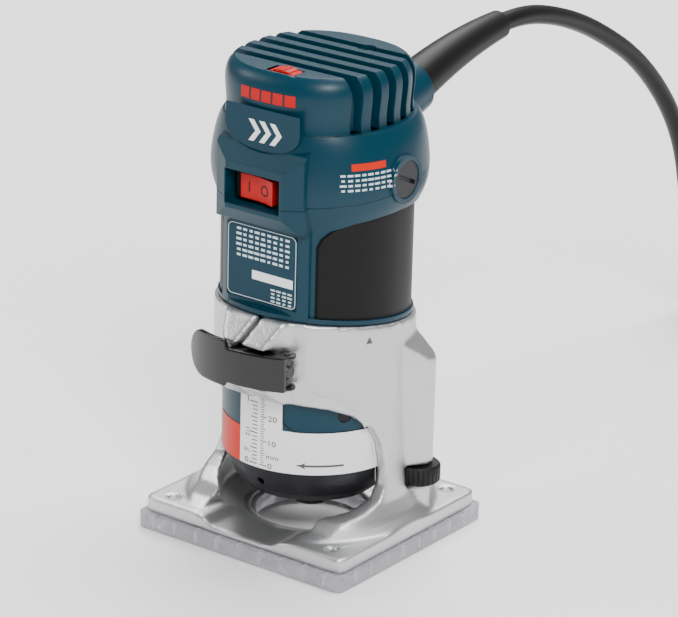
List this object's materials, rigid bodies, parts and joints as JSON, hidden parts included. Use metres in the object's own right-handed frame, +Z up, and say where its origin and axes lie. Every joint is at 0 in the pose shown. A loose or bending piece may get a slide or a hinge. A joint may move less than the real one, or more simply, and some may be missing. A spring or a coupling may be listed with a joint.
{
  "type": "trim router",
  "caption": "Palm trim router: motor with side grips, rocker switch and speed dial, sliding in a clamped die-cast base on a clear sole plate.",
  "frame": {"origin": "spindle axis at the underside of the sole plate", "axes": "+Z up along the spindle, -Y to the front with switch and clamp lever, +X to the right-hand grip"},
  "size_m": [0.1423, 0.4543, 0.194],
  "materials": {
    "blue_casing": "moulded, satin",
    "black_rubber": "moulded, matt",
    "cast_aluminium": "die cast, bead blasted",
    "clear_plate": "clear polycarbonate",
    "plated_steel": "zinc plated",
    "dark_steel": "blackened",
    "lever_black": "gloss black",
    "black_plastic": "moulded",
    "red_plastic": "moulded",
    "white_label": "printed film",
    "red_label": "printed film",
    "blue_label": "printed film",
    "cap_grey": "die cast, dark coated",
    "laminations": "stacked sheet",
    "copper": "enamelled wire",
    "brass": "plain",
    "carbon": "sintered",
    "cord_rubber": "jacket",
    "fan_plastic": "moulded"
  },
  "bodies": {
    "base": {"base_casting": "cast_aluminium", "sole_plate": "clear_plate", "sole_screws": "plated_steel", "draw_bolt": "dark_steel", "bolt_nut": "plated_steel"},
    "motor": {"height_nut": "brass", "motor_housing": "blue_casing", "top_cover": "blue_casing", "grip_right": "black_rubber", "grip_left": "black_rubber", "rating_plate": "blue_label", "badge_plate": "blue_label", "scale_label": "white_label", "warning_patch": "red_label", "lower_cap": "cap_grey", "lock_spring": "plated_steel", "cover_screw": "plated_steel", "switch_body": "black_plastic", "speed_module": "black_plastic", "lower_bearing_outer": "plated_steel", "lower_bearing_balls": "plated_steel", "upper_bearing_outer": "plated_steel", "upper_bearing_balls": "plated_steel", "stator_core": "laminations", "field_coils": "copper", "air_baffle": "black_plastic", "bearing_bracket": "black_plastic", "bearing_sleeve": "black_rubber", "brush_holders": "brass", "carbon_brushes": "carbon", "brush_springs": "plated_steel", "brush_caps": "black_plastic", "cord_boot": "black_rubber", "cord_clamp": "black_plastic", "power_cord": "cord_rubber", "cord_coil": "cord_rubber", "cord_tie": "black_plastic", "cord_tail": "cord_rubber", "plug_body": "cord_rubber", "plug_blades": "brass"},
    "rotor": {"spindle": "dark_steel", "armature_core": "laminations", "armature_winding": "copper", "commutator": "copper", "cooling_fan": "fan_plastic", "lower_bearing_inner": "plated_steel", "upper_bearing_inner": "plated_steel"},
    "lever": {"clamp_lever": "lever_black", "lever_pin": "dark_steel"},
    "adjuster": {"height_wheel": "black_plastic", "height_screw": "plated_steel"},
    "rocker": {"switch_rocker": "red_plastic"},
    "dial": {"speed_dial": "red_plastic"},
    "lock": {"lock_button": "black_plastic"}
  },
  "joints": [
    {"name": "depth_slide", "type": "slide", "parent": "base", "child": "motor", "axis": [0, 0, 1], "range_m": [0, 0.028]},
    {"name": "spindle_spin", "type": "hinge", "parent": "motor", "child": "rotor", "pos_m": [0, 0, 0.1], "axis": [0, 0, 1], "continuous": true},
    {"name": "height_wheel_turn", "type": "hinge", "parent": "base", "child": "adjuster", "pos_m": [0.0402, 0.016, 0.028], "axis": [0, 0, 1], "range_deg": [-1, 2521]},
    {"name": "lever_swing", "type": "hinge", "parent": "base", "child": "lever", "pos_m": [0.0172, -0.0399, 0.08025], "axis": [0, 0, 1], "range_deg": [0, 100]},
    {"name": "switch_rock", "type": "hinge", "parent": "motor", "child": "rocker", "pos_m": [-0.0012, -0.0305, 0.1478], "axis": [0, 0, 1], "range_deg": [0, 12]},
    {"name": "speed_turn", "type": "hinge", "parent": "motor", "child": "dial", "pos_m": [0.0035, -0.0266, 0.1806], "axis": [0, 1, 0], "range_deg": [0, 280]},
    {"name": "lock_press", "type": "slide", "parent": "motor", "child": "lock", "axis": [-0.8387, 0.5446, 0], "range_m": [0, 0.002], "stiffness_N_per_m": 300, "springref_m": -0.002}
  ],
  "couplings": [
    {"joint": "height_wheel_turn", "follows": "depth_slide", "rad_per_m": 1570.8}
  ]
}
